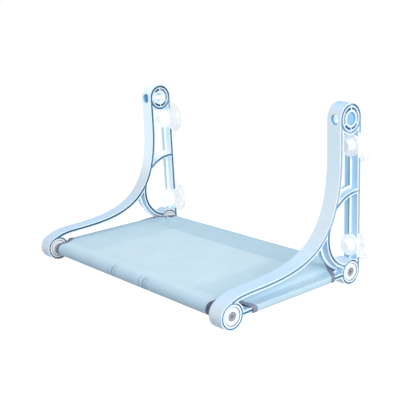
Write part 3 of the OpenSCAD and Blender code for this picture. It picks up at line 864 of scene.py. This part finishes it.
# %% [markdown]
# ## Finish of the cloth: close plain weave of polyester
# Polyester cloth is matt with a faint sheen at a low angle. Its threads are
# about 0.3 mm apart, too fine for this view, so the weave is drawn at 0.9 mm.
# Shade is painted into its colour: it is a little darker where it lies double,
# between the rear hem and the tube and towards the sleeves, standing in for
# the floor's light shining less through two layers, and where it goes round the
# front tube. The bottoms of the pinches' creases carry painted shadow. The inner
# layer is a finish of its own, painted nearly black inside the sleeves as
# painted shade, where hardly any light gets in.

# %% Woven polyester
roll_shade_y, roll_front_y, sleeve_from_y = -0.288, -0.300, -0.265


def woven(made, tone, relief, strength, gaps, roughness, sheen):
    """Matt fabric with a faint sheen; relief raises its threads and gaps scales its colour."""
    tree = made.node_tree
    tint = add(tree, "ShaderNodeVectorMath", operation="SCALE", links={0: tone, "Scale": gaps})
    bump = add(tree, "ShaderNodeBump", values={"Strength": strength, "Distance": 0.0002},
               links={"Height": relief})
    fabric = add(tree, "ShaderNodeBsdfPrincipled",
                 values={"IOR": 1.5, "Roughness": roughness, "Sheen Weight": sheen, "Sheen Roughness": 0.4},
                 links={"Base Color": tint, "Normal": bump})
    return shade(made, fabric)


def woven_polyester(name, pitch_mm, sleeve_shade):
    """Plain weave with painted shade where the cloth is double, rolled or creased, and by sleeve_shade inside
    a sleeve.
    """
    made, tree, place = finish_for(name)
    flat = add(tree, "ShaderNodeUVMap", uv_map="flat_cloth")
    threads = [add(tree, "ShaderNodeTexWave",
                   wave_type="BANDS", bands_direction=direction, wave_profile="SIN",
                   values={"Scale": 1000 / pitch_mm / 20 * math.pi, "Distortion": 0.6, "Detail": 1.0,
                           "Detail Scale": 2.0}, links={"Vector": flat}).outputs["Fac"] for direction in "XY"]
    weave = add(tree, "ShaderNodeMath", operation="MULTIPLY", links=dict(enumerate(threads)))
    slub = add(tree, "ShaderNodeTexNoise", values={"Scale": 1000 / 2.2, "Detail": 4.0},
               links={"Vector": flat})
    height = add(tree, "ShaderNodeMath", operation="ADD", links={0: weave, 1: slub})
    gaps = add(tree, "ShaderNodeMapRange", values={"To Min": 0.93, "To Max": 1.03}, links={"Value": weave})
    split = add(tree, "ShaderNodeSeparateXYZ", links={"Vector": place})
    out = add(tree, "ShaderNodeMath", operation="ABSOLUTE", links={0: split.outputs["X"]})
    # Masks for painted shade: the double layers, the front roll and the inside of the sleeves.
    rear_double, side_double, flat_part, on_roll, sleeve_shade_mask = (
        add(tree, "ShaderNodeMapRange", values={"From Min": low, "From Max": high, "To Max": most},
            links={"Value": value})
        for value, low, high, most in (
            (split.outputs["Y"], hem_y["rear"] - 0.0005, hem_y["rear"] + 0.0010, 1.0),
            (out, side_hem_x - 0.002, side_hem_x + 0.010, 0.55),
            (split.outputs["Y"], roll_front_y, sleeve_from_y, 1.0),
            (split.outputs["Y"], roll_shade_y, roll_front_y, 1.0),
            (out, inner_wall_x, mouth_x[0], 1.0)))
    side_share = add(tree, "ShaderNodeMath", operation="MULTIPLY", links={0: side_double, 1: flat_part})
    doubled = add(tree, "ShaderNodeMath", operation="MAXIMUM", links={0: rear_double, 1: side_share})
    crease_shade = add(tree, "ShaderNodeAttribute", attribute_name="crease").outputs["Fac"]
    tone = two_tone(tree, flat, 45, "#CCE4EF", "#D1E8F2")
    # Each mask multiplies the colour by a darker tone, as painted shade.
    for share, dimmed in ((doubled, (0.80, 0.875, 0.915)), (on_roll, (0.83, 0.87, 0.91)),
                          (crease_shade, (0.42, 0.52, 0.60)), (sleeve_shade_mask, sleeve_shade)):
        tone = add(tree, "ShaderNodeMix", data_type="RGBA", blend_type="MULTIPLY",
                   values={"B": (*dimmed, 1.0)}, links={"A": tone, "Factor": share})
    return woven(made, tone, height, 0.35, gaps, 0.82, 0.15)


cloth_finish = woven_polyester("woven_polyester", 0.9, (1.0, 1.0, 1.0))
# The inner layer is painted nearly black inside the sleeves, as painted shade.
inner_cloth_finish = woven_polyester("woven_polyester_inner_layer", 0.9, (0.05, 0.07, 0.11))
print("finishes", cloth_finish.name, "and", inner_cloth_finish.name)

# %% [markdown]
# The sheet becomes a mesh that keeps the creases' depth as an attribute. A
# Solidify modifier gives it the cloth's thickness on its lower side, and gives
# that inner layer the second finish.

# %% The deck
cloth.verts.index_update()
depths = [0.0] * len(cloth.verts)
for (row, column), depth in folds.items():
    depths[grid[row][column].index] = depth
deck_mesh = bpy.data.meshes.new("stretched_cloth")
cloth.to_mesh(deck_mesh)
deck_mesh.attributes.new("crease", "FLOAT", "POINT").data.foreach_set("value", depths)
deck_mesh.materials.append(cloth_finish)
deck_mesh.materials.append(inner_cloth_finish)
deck = placed("stretched_cloth", deck_mesh)
wall = deck.modifiers.new("cloth_thickness", "SOLIDIFY")
wall.thickness = cloth_thick
wall.offset = -1.0
wall.material_offset = 1
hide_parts("deck_cloth")
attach(deck, "perch")
print(deck.name, len(deck_mesh.polygons), "faces in", cloth_finish.name)

# %% [markdown]
# ## The binding tape
# Grey woven tape is folded over the cloth's cut edge at each corner and sewn
# through. It could be a curve with a flat bevel, but tape follows the cloth
# exactly. So each strip is swept along the sheet's own edge vertices, with a
# folded section that holds the cloth between its two halves. Its twill is
# painted darker round the rolls, as painted shade from the brackets, and
# paler where it lies flat on the sleeves, as painted light.

# %% Twill tape
def twill_tape(name, dark, light, sleeve):
    made, tree, place = finish_for(name)
    flat = add(tree, "ShaderNodeUVMap", uv_map="tape")
    turned = add(tree, "ShaderNodeMapping", values={"Rotation": (0, 0, math.radians(45))},
                 links={"Vector": flat})
    ribs = add(tree, "ShaderNodeTexWave", wave_type="BANDS", bands_direction="X",
               values={"Scale": 1000 / 1.1 / 20 * math.pi, "Distortion": 0.4},
               links={"Vector": turned}).outputs["Fac"]
    tone = two_tone(tree, flat, 4, dark, light)
    split = add(tree, "ShaderNodeSeparateXYZ", links={"Vector": place})
    out = add(tree, "ShaderNodeMath", operation="ABSOLUTE", links={0: split.outputs["X"]})
    # Painted light on the sleeves, painted shade round the rolls: the lit tone is mixed in where the tape
    # lies flat on a sleeve.
    on_sleeve = add(tree, "ShaderNodeMapRange", values={"From Min": 0.221, "From Max": deck_half},
                    links={"Value": out})
    painted_light_tone = add(tree, "ShaderNodeMix", data_type="RGBA", values={"B": linear(sleeve)},
               links={"A": tone, "Factor": on_sleeve})
    gaps = add(tree, "ShaderNodeMapRange", values={"To Min": 0.70, "To Max": 1.12}, links={"Value": ribs})
    return woven(made, painted_light_tone, ribs, 0.4, gaps, 0.75, 0.1)


# The two darker tones carry painted shade round the rolls; the third is painted light on the sleeves.
tape_finish = twill_tape("twill_tape", "#4E5568", "#656C7E", "#8E93A6")
tape_width, left_roll_reach = {"sleeve": 0.0082, "roll": 0.0098}, 0.0055
tape_thick = 0.00035
chain_length = 9


def walk_in(chain, distance):
    """The point at a distance along a chain of vertices."""
    points = [v.co for v in chain]
    for a, b in zip(points, points[1:]):
        step = (b - a).length
        if distance <= step:
            return a.lerp(b, distance / step)
        distance -= step
    return points[-1]


def edge_chains(end, side):
    """For each vertex of a corner's cut edge, the chain of vertices that leads inward."""
    chains = []
    column = 0 if side < 0 else columns
    inward = 1 if side < 0 else -1
    rows = range(first_deck_row + 1) if end == "rear" else range(len(profile) - 1, last_deck_row - 1, -1)
    for row in rows:
        chains.append(("roll", [grid[row][column + inward * k] for k in range(chain_length)]))
    lines = side_grids[side]
    order = lines if end == "rear" else lines[::-1]
    for column in range(3, side_columns + under_columns + 1):
        chains.append(("sleeve", [order[k][column] for k in range(chain_length)]))
    return chains


def reach_in(end, side, where):
    """How far a tape reaches in from the edge; the left roll's is mostly hidden in the boss."""
    return left_roll_reach if where == "roll" and side < 0 and end == "front" else tape_width[where]


def bind(end, side):
    chains = edge_chains(end, side)
    name = f"binding_tape_{end}_{'left' if side < 0 else 'right'}"
    work = bmesh.new()
    uv = work.loops.layers.uv.new("tape")
    rings, travel = [], path_lengths([chain[0].co for where, chain in chains])
    over, under = tape_thick, -cloth_thick - tape_thick
    for where, chain in chains:
        normal = sum((v.normal for v in chain[:4]), Vector()).normalized()
        inward = [walk_in(chain, reach_in(end, side, where) * share) for share in (1, 0.75, 0.5, 0.25, 0)]
        out = (inward[-1] - inward[-2]).normalized()
        points = [p + normal * over for p in inward]
        points += [inward[-1] + out * 0.0004 + normal * height for height in (over * 0.3, under * 0.8)]
        points += [p + normal * under for p in reversed(inward)]
        rings.append([work.verts.new(p) for p in points])
    count = len(rings[0])
    for i in range(len(rings) - 1):
        for k in range(count):
            m = (k + 1) % count
            face = work.faces.new((rings[i][k], rings[i][m], rings[i + 1][m], rings[i + 1][k]))
            face.smooth = True
            for loop, (a, b) in zip(face.loops, ((i, k), (i, k + 1), (i + 1, k + 1), (i + 1, k))):
                loop[uv].uv = (travel[a], b * 0.002)
    work.faces.new(rings[0])
    work.faces.new(rings[-1])
    bmesh.ops.recalc_face_normals(work, faces=work.faces)
    mesh = bpy.data.meshes.new(name)
    work.to_mesh(mesh)
    work.free()
    mesh.materials.append(tape_finish)
    made = placed(name, mesh)
    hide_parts(f"corner_tape_{end}_{'left' if side < 0 else 'right'}")
    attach(made, "perch")
    print(name, len(mesh.polygons), "faces")
    return made


tapes = [bind(end, side) for end in ("front", "rear") for side in (-1, 1)]

# %% [markdown]
# ## The stitches
# Every seam is a run of small stitches, all alike, along a path: that is work
# for Geometry Nodes. The tree resamples a path to the stitch spacing and puts
# a short thread on each point, turned along the path. Real stitches are
# 2.5 mm long in thread of about 0.3 mm.

# %% Stitch tree
def sewing_thread(name, dark, light):
    """Spun polyester: matt, and a little darker than what it sews."""
    made, tree, place = finish_for(name)
    tone = two_tone(tree, place, 1.0, dark, light)
    thread = add(tree, "ShaderNodeBsdfPrincipled", values={"Roughness": 0.6, "IOR": 1.5},
                 links={"Base Color": tone})
    return shade(made, thread)


thread_finish = sewing_thread("polyester_thread", "#A9C6DA", "#BCD6E6")
grey_thread_finish = sewing_thread("grey_thread", "#8A90A4", "#A0A6B8")


def stitch_tree():
    tree = bpy.data.node_groups.new("stitch_run", "GeometryNodeTree")
    for socket, kind, start in (("Seam", "Geometry", None), ("Spacing", "Float", 0.0034),
                                ("Length", "Float", 0.0024), ("Thread", "Float", 0.00022),
                                ("Finish", "Material", None)):
        made = tree.interface.new_socket(socket, in_out="INPUT", socket_type="NodeSocket" + kind)
        if start is not None:
            made.default_value = start
    tree.interface.new_socket("Stitches", in_out="OUTPUT", socket_type="NodeSocketGeometry")
    given = add(tree, "NodeGroupInput").outputs
    path = add(tree, "GeometryNodeMeshToCurve", links={"Mesh": given["Seam"]})
    points = add(tree, "GeometryNodeCurveToPoints", mode="LENGTH",
                 links={"Curve": path, "Length": given["Spacing"]})
    thread = add(tree, "GeometryNodeMeshCylinder", values={"Vertices": 6, "Side Segments": 1},
                 links={"Radius": given["Thread"], "Depth": given["Length"]})
    along = add(tree, "FunctionNodeAlignRotationToVector", axis="Z",
                links={"Vector": points.outputs["Tangent"]})
    run = add(tree, "GeometryNodeInstanceOnPoints",
              links={"Points": points, "Instance": thread, "Rotation": along})
    whole = add(tree, "GeometryNodeRealizeInstances", links={"Geometry": run})
    finished = add(tree, "GeometryNodeSetMaterial", links={"Geometry": whole, "Material": given["Finish"]})
    add(tree, "NodeGroupOutput", links={"Stitches": finished})
    return tree


stitching = stitch_tree()
print("stitch tree of", len(stitching.nodes), "nodes")

# %% [markdown]
# Two rows of stitches hold the rear hem, one the front hem and one each sleeve,
# and one runs along each tape. A seam is a line of points just above the cloth,
# and the evaluated stitches are kept as a plain mesh.

# %% Seams
def sew(name, seams, finish):
    """Stitches along every path in seams, as one mesh."""
    mesh = bpy.data.meshes.new(name + "_path")
    points, edges = [], []
    for seam in seams:
        first = len(points)
        points += [tuple(p) for p in seam]
        edges += [(first + i, first + i + 1) for i in range(len(seam) - 1)]
    mesh.from_pydata(points, edges, [])
    path = placed(name + "_path", mesh)
    run = path.modifiers.new("stitch_run", "NODES")
    run.node_group = stitching
    run[stitching.interface.items_tree["Finish"].identifier] = finish
    shape = path.evaluated_get(bpy.context.evaluated_depsgraph_get())
    plain = bpy.data.meshes.new_from_object(shape)
    path.modifiers.clear()
    bpy.data.objects.remove(path)
    made = placed(name, plain)
    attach(made, "perch")
    print(name, len(plain.polygons), "faces in", len(seams), "seams")
    return made


def deck_point(x, y):
    """A point for a thread, just above the deck."""
    return Vector((x, y, deck_z - deck_sag(x, y) + wrinkles(x, y) + 0.00008))


hem_xs = [x / 500 for x in range(-108, 109)]
hems = [[deck_point(x, y) for x in hem_xs]
        for y in (hem_y["rear"], hem_y["rear"] + 0.004, hem_y["front"])]
for side in (-1, 1):
    hems.append([deck_point(side * side_hem_x, fold(-0.096, -0.266, i / 70)) for i in range(71)])
deck_stitches = sew("hem_stitches", hems, thread_finish)

tape_seams = [[walk_in(chain, reach_in(end, side, where) * 0.8) + chain[1].normal * (tape_thick + 0.00005)
               for where, chain in edge_chains(end, side)] for end in ("front", "rear") for side in (-1, 1)]
tape_stitches = sew("tape_stitches", tape_seams, grey_thread_finish)

cloth.free()

# %% [markdown]
# ## Light and floor
# A catalogue photograph is lit from large soft boxes before a white backdrop.
# The key stands to the right, a weaker box in front and a weak one above.

# %% Lamps
def soft_box(name, place, aim, size, power, colour):
    lamp = bpy.data.lights.new(name, "AREA")
    lamp.shape = "SQUARE"
    lamp.size = size
    lamp.energy = power
    lamp.color = linear(colour)[:3]
    made = placed(name, lamp)
    made.location = place
    made.rotation_euler = (Vector(place) - Vector(aim)).to_track_quat("Z", "Y").to_euler()


soft_box("key_box", (1.9, -0.45, 0.9), (0, -0.15, 0.1), 1.2, 26, "#FFFFFF")
soft_box("top_box", (-0.3, 0.1, 1.9), (0, -0.15, 0.0), 1.6, 5, "#FFFFFF")
soft_box("front_box", (-0.6, -2.2, 0.9), (0, -0.15, 0.1), 1.4, 7.5, "#F4F8FF")
print("lamps", ", ".join(lamp.name for lamp in bpy.data.lights))

# %% [markdown]
# The world fills in evenly. Both it and the floor show white to the camera, to
# gloss and through clear parts, but to bounced light they are greyer, so that
# the undersides keep their shade.

# %% World and floor
def seen_directly(tree):
    """1 where a ray comes from the camera, a glossy or a clear surface, else 0."""
    rays = add(tree, "ShaderNodeLightPath").outputs
    seen = rays["Is Camera Ray"]
    for kind in ("Is Glossy Ray", "Is Transmission Ray"):
        seen = add(tree, "ShaderNodeMath", operation="ADD", use_clamp=True, links={0: seen, 1: rays[kind]})
    return seen


world = bpy.data.worlds.new("studio")
bpy.context.scene.world = world
world.use_nodes = True
sky = world.node_tree
sky.nodes.clear()
ambient = add(sky, "ShaderNodeBackground", values={"Color": linear("#F2F8FF"), "Strength": 0.66})
white = add(sky, "ShaderNodeBackground", values={"Color": (1, 1, 1, 1), "Strength": 1.0})
either = add(sky, "ShaderNodeMixShader", links={0: seen_directly(sky), 1: ambient, 2: white})
add(sky, "ShaderNodeOutputWorld", links={"Surface": either})

floor_finish, tree, place = finish_for("white_floor")
tone = two_tone(tree, place, 400, "#A2A6AA", "#A8ACB0")
glow = add(tree, "ShaderNodeMath", operation="MULTIPLY", values={1: 0.9}, links={0: seen_directly(tree)})
surface = add(tree, "ShaderNodeBsdfPrincipled", values={"Roughness": 0.9, "Emission Color": (1, 1, 1, 1)},
              links={"Base Color": tone, "Emission Strength": glow})
shade(floor_finish, surface)
floor_mesh = bpy.data.meshes.new("studio_floor")
reach, floor_z = 12.0, -0.62
corners = [(x * reach, y * reach, floor_z) for x, y in ((-1, -1), (1, -1), (1, 1), (-1, 1))]
floor_mesh.from_pydata(corners, [], [(0, 1, 2, 3)])
floor_mesh.materials.append(floor_finish)
floor = placed("studio_floor", floor_mesh)
bpy.context.scene.view_settings.view_transform = "Standard"
print("world", world.name, "and", floor.name)

# %% [markdown]
# ## The end
# The view layer is brought up to date.

# %% Update
bpy.context.view_layer.update()
